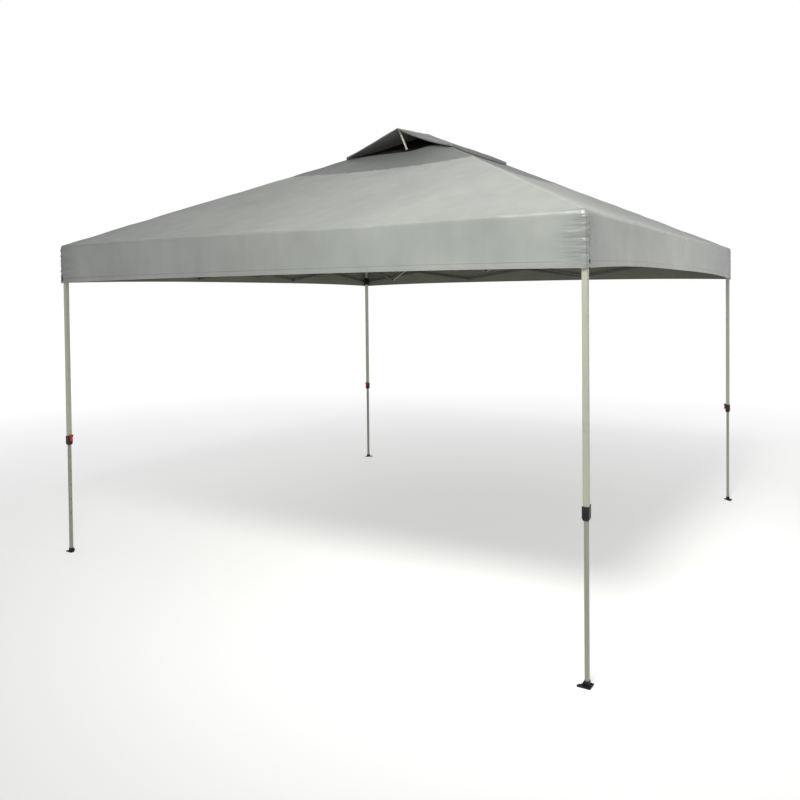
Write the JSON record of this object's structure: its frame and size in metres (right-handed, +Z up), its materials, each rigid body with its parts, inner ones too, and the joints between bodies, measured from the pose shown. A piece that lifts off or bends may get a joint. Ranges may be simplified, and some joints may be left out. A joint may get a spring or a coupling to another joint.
{
  "type": "pop-up canopy tent",
  "caption": "Pop-up canopy: square fabric roof with a vented peak on a folding scissor frame and telescopic legs",
  "frame": {"origin": "on the ground under the centre of the roof", "axes": "+Z up, -Y the front, where the vent cap is propped open, +X to the right seen from the front"},
  "size_m": [3.66, 3.66, 2.924],
  "materials": {
    "canopy_fabric": "woven polyester with a silvery coating",
    "painted_steel": "powder coated, pale warm grey",
    "black_plastic": "moulded, fine grain",
    "red_plastic": "moulded, smooth"
  },
  "bodies": {
    "hub_and_canopy": {"centre_hub": "black_plastic", "peak_pole": "painted_steel", "canopy": "canopy_fabric", "vent_cap": "canopy_fabric"},
    "inner_arm_front_left": {"inner_arm_front_left": "painted_steel"},
    "outer_arm_front_left": {"outer_arm_front_left": "painted_steel"},
    "outer_leg_front_left": {"outer_leg_front_left": "painted_steel", "adjuster_housing_front_left": "black_plastic"},
    "slider_front_left": {"slider_front_left": "black_plastic"},
    "inner_leg_front_left": {"inner_leg_front_left": "painted_steel", "foot_front_left": "black_plastic"},
    "release_lever_front_left": {"release_lever_front_left": "red_plastic"},
    "front_rising_bar_1": {"front_rising_bar_1": "painted_steel"},
    "front_rising_bar_2": {"front_rising_bar_2": "painted_steel"},
    "front_rising_bar_3": {"front_rising_bar_3": "painted_steel"},
    "front_falling_bar_1": {"front_falling_bar_1": "painted_steel"},
    "front_falling_bar_2": {"front_falling_bar_2": "painted_steel"},
    "front_falling_bar_3": {"front_falling_bar_3": "painted_steel"},
    "inner_arm_front_right": {"inner_arm_front_right": "painted_steel"},
    "outer_arm_front_right": {"outer_arm_front_right": "painted_steel"},
    "outer_leg_front_right": {"outer_leg_front_right": "painted_steel", "adjuster_housing_front_right": "black_plastic"},
    "slider_front_right": {"slider_front_right": "black_plastic"},
    "inner_leg_front_right": {"inner_leg_front_right": "painted_steel", "foot_front_right": "black_plastic"},
    "release_lever_front_right": {"release_lever_front_right": "red_plastic"},
    "right_rising_bar_1": {"right_rising_bar_1": "painted_steel"},
    "right_rising_bar_2": {"right_rising_bar_2": "painted_steel"},
    "right_rising_bar_3": {"right_rising_bar_3": "painted_steel"},
    "right_falling_bar_1": {"right_falling_bar_1": "painted_steel"},
    "right_falling_bar_2": {"right_falling_bar_2": "painted_steel"},
    "right_falling_bar_3": {"right_falling_bar_3": "painted_steel"},
    "inner_arm_rear_right": {"inner_arm_rear_right": "painted_steel"},
    "outer_arm_rear_right": {"outer_arm_rear_right": "painted_steel"},
    "outer_leg_rear_right": {"outer_leg_rear_right": "painted_steel", "adjuster_housing_rear_right": "black_plastic"},
    "slider_rear_right": {"slider_rear_right": "black_plastic"},
    "inner_leg_rear_right": {"inner_leg_rear_right": "painted_steel", "foot_rear_right": "black_plastic"},
    "release_lever_rear_right": {"release_lever_rear_right": "red_plastic"},
    "rear_rising_bar_1": {"rear_rising_bar_1": "painted_steel"},
    "rear_rising_bar_2": {"rear_rising_bar_2": "painted_steel"},
    "rear_rising_bar_3": {"rear_rising_bar_3": "painted_steel"},
    "rear_falling_bar_1": {"rear_falling_bar_1": "painted_steel"},
    "rear_falling_bar_2": {"rear_falling_bar_2": "painted_steel"},
    "rear_falling_bar_3": {"rear_falling_bar_3": "painted_steel"},
    "inner_arm_rear_left": {"inner_arm_rear_left": "painted_steel"},
    "outer_arm_rear_left": {"outer_arm_rear_left": "painted_steel"},
    "outer_leg_rear_left": {"outer_leg_rear_left": "painted_steel", "adjuster_housing_rear_left": "black_plastic"},
    "slider_rear_left": {"slider_rear_left": "black_plastic"},
    "inner_leg_rear_left": {"inner_leg_rear_left": "painted_steel", "foot_rear_left": "black_plastic"},
    "release_lever_rear_left": {"release_lever_rear_left": "red_plastic"},
    "left_rising_bar_1": {"left_rising_bar_1": "painted_steel"},
    "left_rising_bar_2": {"left_rising_bar_2": "painted_steel"},
    "left_rising_bar_3": {"left_rising_bar_3": "painted_steel"},
    "left_falling_bar_1": {"left_falling_bar_1": "painted_steel"},
    "left_falling_bar_2": {"left_falling_bar_2": "painted_steel"},
    "left_falling_bar_3": {"left_falling_bar_3": "painted_steel"}
  },
  "joints": [
    {"name": "frame_fold", "type": "hinge", "parent": "hub_and_canopy", "child": "inner_arm_front_left", "pos_m": [-0.02263, -0.02263, 2.045], "axis": [0.7071, -0.7071, 0], "range_deg": [0, 77.77]},
    {"name": "knee_front_left", "type": "hinge", "parent": "inner_arm_front_left", "child": "outer_arm_front_left", "pos_m": [-0.89863, -0.89863, 1.86575], "axis": [-0.7071, 0.7071, 0], "range_deg": [0, 159.54]},
    {"name": "leg_hinge_front_left", "type": "hinge", "parent": "outer_arm_front_left", "child": "outer_leg_front_left", "pos_m": [-1.77463, -1.77463, 2.045], "axis": [0.7071, -0.7071, 0], "range_deg": [0, 79.77]},
    {"name": "front_bar_hinge", "type": "hinge", "parent": "outer_leg_front_left", "child": "front_falling_bar_1", "pos_m": [-1.752, -1.8, 2.045], "axis": [0, 1, 0], "range_deg": [0, 79.77]},
    {"name": "front_cross_1", "type": "hinge", "parent": "front_falling_bar_1", "child": "front_rising_bar_1", "pos_m": [-1.168, -1.8, 1.9605], "axis": [0, -1, 0], "range_deg": [0, 159.54]},
    {"name": "front_slider_hinge", "type": "hinge", "parent": "front_rising_bar_1", "child": "slider_front_left", "pos_m": [-1.752, -1.8, 1.876], "axis": [0, 1, 0], "range_deg": [0, 79.77]},
    {"name": "front_lower_joint_1", "type": "hinge", "parent": "front_falling_bar_1", "child": "front_rising_bar_2", "pos_m": [-0.584, -1.8, 1.876], "axis": [0, -1, 0], "range_deg": [0, 159.54]},
    {"name": "front_upper_joint_1", "type": "hinge", "parent": "front_rising_bar_1", "child": "front_falling_bar_2", "pos_m": [-0.584, -1.8, 2.045], "axis": [0, 1, 0], "range_deg": [0, 159.54]},
    {"name": "front_lower_joint_2", "type": "hinge", "parent": "front_falling_bar_2", "child": "front_rising_bar_3", "pos_m": [0.584, -1.8, 1.876], "axis": [0, -1, 0], "range_deg": [0, 159.54]},
    {"name": "front_upper_joint_2", "type": "hinge", "parent": "front_rising_bar_2", "child": "front_falling_bar_3", "pos_m": [0.584, -1.8, 2.045], "axis": [0, 1, 0], "range_deg": [0, 159.54]},
    {"name": "leg_height_front_left", "type": "slide", "parent": "outer_leg_front_left", "child": "inner_leg_front_left", "axis": [0, 0, 1], "range_m": [0, 0.6]},
    {"name": "lever_front_left", "type": "hinge", "parent": "outer_leg_front_left", "child": "release_lever_front_left", "pos_m": [-1.778, -1.8, 0.79], "axis": [0, -1, 0], "range_deg": [0, 25], "stiffness_Nm_per_rad": 0.4},
    {"name": "hub_hinge_front_right", "type": "hinge", "parent": "hub_and_canopy", "child": "inner_arm_front_right", "pos_m": [0.02263, -0.02263, 2.045], "axis": [0.7071, 0.7071, 0], "range_deg": [0, 79.77]},
    {"name": "knee_front_right", "type": "hinge", "parent": "inner_arm_front_right", "child": "outer_arm_front_right", "pos_m": [0.89863, -0.89863, 1.86575], "axis": [-0.7071, -0.7071, 0], "range_deg": [0, 159.54]},
    {"name": "leg_hinge_front_right", "type": "hinge", "parent": "outer_arm_front_right", "child": "outer_leg_front_right", "pos_m": [1.77463, -1.77463, 2.045], "axis": [0.7071, 0.7071, 0], "range_deg": [0, 79.77]},
    {"name": "right_bar_hinge", "type": "hinge", "parent": "outer_leg_front_right", "child": "right_falling_bar_1", "pos_m": [1.8, -1.752, 2.045], "axis": [-1, 0, 0], "range_deg": [0, 79.77]},
    {"name": "right_cross_1", "type": "hinge", "parent": "right_falling_bar_1", "child": "right_rising_bar_1", "pos_m": [1.8, -1.168, 1.9605], "axis": [1, 0, 0], "range_deg": [0, 159.54]},
    {"name": "right_slider_hinge", "type": "hinge", "parent": "right_rising_bar_1", "child": "slider_front_right", "pos_m": [1.8, -1.752, 1.876], "axis": [-1, 0, 0], "range_deg": [0, 79.77]},
    {"name": "right_lower_joint_1", "type": "hinge", "parent": "right_falling_bar_1", "child": "right_rising_bar_2", "pos_m": [1.8, -0.584, 1.876], "axis": [1, 0, 0], "range_deg": [0, 159.54]},
    {"name": "right_upper_joint_1", "type": "hinge", "parent": "right_rising_bar_1", "child": "right_falling_bar_2", "pos_m": [1.8, -0.584, 2.045], "axis": [-1, 0, 0], "range_deg": [0, 159.54]},
    {"name": "right_lower_joint_2", "type": "hinge", "parent": "right_falling_bar_2", "child": "right_rising_bar_3", "pos_m": [1.8, 0.584, 1.876], "axis": [1, 0, 0], "range_deg": [0, 159.54]},
    {"name": "right_upper_joint_2", "type": "hinge", "parent": "right_rising_bar_2", "child": "right_falling_bar_3", "pos_m": [1.8, 0.584, 2.045], "axis": [-1, 0, 0], "range_deg": [0, 159.54]},
    {"name": "leg_height_front_right", "type": "slide", "parent": "outer_leg_front_right", "child": "inner_leg_front_right", "axis": [0, 0, 1], "range_m": [0, 0.6]},
    {"name": "lever_front_right", "type": "hinge", "parent": "outer_leg_front_right", "child": "release_lever_front_right", "pos_m": [1.8, -1.778, 0.79], "axis": [1, 0, 0], "range_deg": [0, 25], "stiffness_Nm_per_rad": 0.4},
    {"name": "hub_hinge_rear_right", "type": "hinge", "parent": "hub_and_canopy", "child": "inner_arm_rear_right", "pos_m": [0.02263, 0.02263, 2.045], "axis": [-0.7071, 0.7071, 0], "range_deg": [0, 79.77]},
    {"name": "knee_rear_right", "type": "hinge", "parent": "inner_arm_rear_right", "child": "outer_arm_rear_right", "pos_m": [0.89863, 0.89863, 1.86575], "axis": [0.7071, -0.7071, 0], "range_deg": [0, 159.54]},
    {"name": "leg_hinge_rear_right", "type": "hinge", "parent": "outer_arm_rear_right", "child": "outer_leg_rear_right", "pos_m": [1.77463, 1.77463, 2.045], "axis": [-0.7071, 0.7071, 0], "range_deg": [0, 79.77]},
    {"name": "rear_bar_hinge", "type": "hinge", "parent": "outer_leg_rear_right", "child": "rear_falling_bar_1", "pos_m": [1.752, 1.8, 2.045], "axis": [0, -1, 0], "range_deg": [0, 79.77]},
    {"name": "rear_cross_1", "type": "hinge", "parent": "rear_falling_bar_1", "child": "rear_rising_bar_1", "pos_m": [1.168, 1.8, 1.9605], "axis": [0, 1, 0], "range_deg": [0, 159.54]},
    {"name": "rear_slider_hinge", "type": "hinge", "parent": "rear_rising_bar_1", "child": "slider_rear_right", "pos_m": [1.752, 1.8, 1.876], "axis": [0, -1, 0], "range_deg": [0, 79.77]},
    {"name": "rear_lower_joint_1", "type": "hinge", "parent": "rear_falling_bar_1", "child": "rear_rising_bar_2", "pos_m": [0.584, 1.8, 1.876], "axis": [0, 1, 0], "range_deg": [0, 159.54]},
    {"name": "rear_upper_joint_1", "type": "hinge", "parent": "rear_rising_bar_1", "child": "rear_falling_bar_2", "pos_m": [0.584, 1.8, 2.045], "axis": [0, -1, 0], "range_deg": [0, 159.54]},
    {"name": "rear_lower_joint_2", "type": "hinge", "parent": "rear_falling_bar_2", "child": "rear_rising_bar_3", "pos_m": [-0.584, 1.8, 1.876], "axis": [0, 1, 0], "range_deg": [0, 159.54]},
    {"name": "rear_upper_joint_2", "type": "hinge", "parent": "rear_rising_bar_2", "child": "rear_falling_bar_3", "pos_m": [-0.584, 1.8, 2.045], "axis": [0, -1, 0], "range_deg": [0, 159.54]},
    {"name": "leg_height_rear_right", "type": "slide", "parent": "outer_leg_rear_right", "child": "inner_leg_rear_right", "axis": [0, 0, 1], "range_m": [0, 0.6]},
    {"name": "lever_rear_right", "type": "hinge", "parent": "outer_leg_rear_right", "child": "release_lever_rear_right", "pos_m": [1.778, 1.8, 0.79], "axis": [0, 1, 0], "range_deg": [0, 25], "stiffness_Nm_per_rad": 0.4},
    {"name": "hub_hinge_rear_left", "type": "hinge", "parent": "hub_and_canopy", "child": "inner_arm_rear_left", "pos_m": [-0.02263, 0.02263, 2.045], "axis": [-0.7071, -0.7071, 0], "range_deg": [0, 79.77]},
    {"name": "knee_rear_left", "type": "hinge", "parent": "inner_arm_rear_left", "child": "outer_arm_rear_left", "pos_m": [-0.89863, 0.89863, 1.86575], "axis": [0.7071, 0.7071, 0], "range_deg": [0, 159.54]},
    {"name": "leg_hinge_rear_left", "type": "hinge", "parent": "outer_arm_rear_left", "child": "outer_leg_rear_left", "pos_m": [-1.77463, 1.77463, 2.045], "axis": [-0.7071, -0.7071, 0], "range_deg": [0, 79.77]},
    {"name": "left_bar_hinge", "type": "hinge", "parent": "outer_leg_rear_left", "child": "left_falling_bar_1", "pos_m": [-1.8, 1.752, 2.045], "axis": [1, 0, 0], "range_deg": [0, 79.77]},
    {"name": "left_cross_1", "type": "hinge", "parent": "left_falling_bar_1", "child": "left_rising_bar_1", "pos_m": [-1.8, 1.168, 1.9605], "axis": [-1, 0, 0], "range_deg": [0, 159.54]},
    {"name": "left_slider_hinge", "type": "hinge", "parent": "left_rising_bar_1", "child": "slider_rear_left", "pos_m": [-1.8, 1.752, 1.876], "axis": [1, 0, 0], "range_deg": [0, 79.77]},
    {"name": "left_lower_joint_1", "type": "hinge", "parent": "left_falling_bar_1", "child": "left_rising_bar_2", "pos_m": [-1.8, 0.584, 1.876], "axis": [-1, 0, 0], "range_deg": [0, 159.54]},
    {"name": "left_upper_joint_1", "type": "hinge", "parent": "left_rising_bar_1", "child": "left_falling_bar_2", "pos_m": [-1.8, 0.584, 2.045], "axis": [1, 0, 0], "range_deg": [0, 159.54]},
    {"name": "left_lower_joint_2", "type": "hinge", "parent": "left_falling_bar_2", "child": "left_rising_bar_3", "pos_m": [-1.8, -0.584, 1.876], "axis": [-1, 0, 0], "range_deg": [0, 159.54]},
    {"name": "left_upper_joint_2", "type": "hinge", "parent": "left_rising_bar_2", "child": "left_falling_bar_3", "pos_m": [-1.8, -0.584, 2.045], "axis": [1, 0, 0], "range_deg": [0, 159.54]},
    {"name": "leg_height_rear_left", "type": "slide", "parent": "outer_leg_rear_left", "child": "inner_leg_rear_left", "axis": [0, 0, 1], "range_m": [0, 0.6]},
    {"name": "lever_rear_left", "type": "hinge", "parent": "outer_leg_rear_left", "child": "release_lever_rear_left", "pos_m": [-1.8, 1.778, 0.79], "axis": [-1, 0, 0], "range_deg": [0, 25], "stiffness_Nm_per_rad": 0.4}
  ],
  "couplings": [
    {"joint": "knee_front_left", "follows": "frame_fold", "ratio": 2},
    {"joint": "leg_hinge_front_left", "follows": "frame_fold", "ratio": 1},
    {"joint": "front_bar_hinge", "follows": "frame_fold", "ratio": 1},
    {"joint": "front_cross_1", "follows": "frame_fold", "ratio": 2},
    {"joint": "front_slider_hinge", "follows": "frame_fold", "ratio": 1},
    {"joint": "front_lower_joint_1", "follows": "frame_fold", "ratio": 2},
    {"joint": "front_upper_joint_1", "follows": "frame_fold", "ratio": 2},
    {"joint": "front_lower_joint_2", "follows": "frame_fold", "ratio": 2},
    {"joint": "front_upper_joint_2", "follows": "frame_fold", "ratio": 2},
    {"joint": "hub_hinge_front_right", "follows": "frame_fold", "ratio": 1},
    {"joint": "knee_front_right", "follows": "frame_fold", "ratio": 2},
    {"joint": "leg_hinge_front_right", "follows": "frame_fold", "ratio": 1},
    {"joint": "right_bar_hinge", "follows": "frame_fold", "ratio": 1},
    {"joint": "right_cross_1", "follows": "frame_fold", "ratio": 2},
    {"joint": "right_slider_hinge", "follows": "frame_fold", "ratio": 1},
    {"joint": "right_lower_joint_1", "follows": "frame_fold", "ratio": 2},
    {"joint": "right_upper_joint_1", "follows": "frame_fold", "ratio": 2},
    {"joint": "right_lower_joint_2", "follows": "frame_fold", "ratio": 2},
    {"joint": "right_upper_joint_2", "follows": "frame_fold", "ratio": 2},
    {"joint": "hub_hinge_rear_right", "follows": "frame_fold", "ratio": 1},
    {"joint": "knee_rear_right", "follows": "frame_fold", "ratio": 2},
    {"joint": "leg_hinge_rear_right", "follows": "frame_fold", "ratio": 1},
    {"joint": "rear_bar_hinge", "follows": "frame_fold", "ratio": 1},
    {"joint": "rear_cross_1", "follows": "frame_fold", "ratio": 2},
    {"joint": "rear_slider_hinge", "follows": "frame_fold", "ratio": 1},
    {"joint": "rear_lower_joint_1", "follows": "frame_fold", "ratio": 2},
    {"joint": "rear_upper_joint_1", "follows": "frame_fold", "ratio": 2},
    {"joint": "rear_lower_joint_2", "follows": "frame_fold", "ratio": 2},
    {"joint": "rear_upper_joint_2", "follows": "frame_fold", "ratio": 2},
    {"joint": "hub_hinge_rear_left", "follows": "frame_fold", "ratio": 1},
    {"joint": "knee_rear_left", "follows": "frame_fold", "ratio": 2},
    {"joint": "leg_hinge_rear_left", "follows": "frame_fold", "ratio": 1},
    {"joint": "left_bar_hinge", "follows": "frame_fold", "ratio": 1},
    {"joint": "left_cross_1", "follows": "frame_fold", "ratio": 2},
    {"joint": "left_slider_hinge", "follows": "frame_fold", "ratio": 1},
    {"joint": "left_lower_joint_1", "follows": "frame_fold", "ratio": 2},
    {"joint": "left_upper_joint_1", "follows": "frame_fold", "ratio": 2},
    {"joint": "left_lower_joint_2", "follows": "frame_fold", "ratio": 2},
    {"joint": "left_upper_joint_2", "follows": "frame_fold", "ratio": 2}
  ]
}
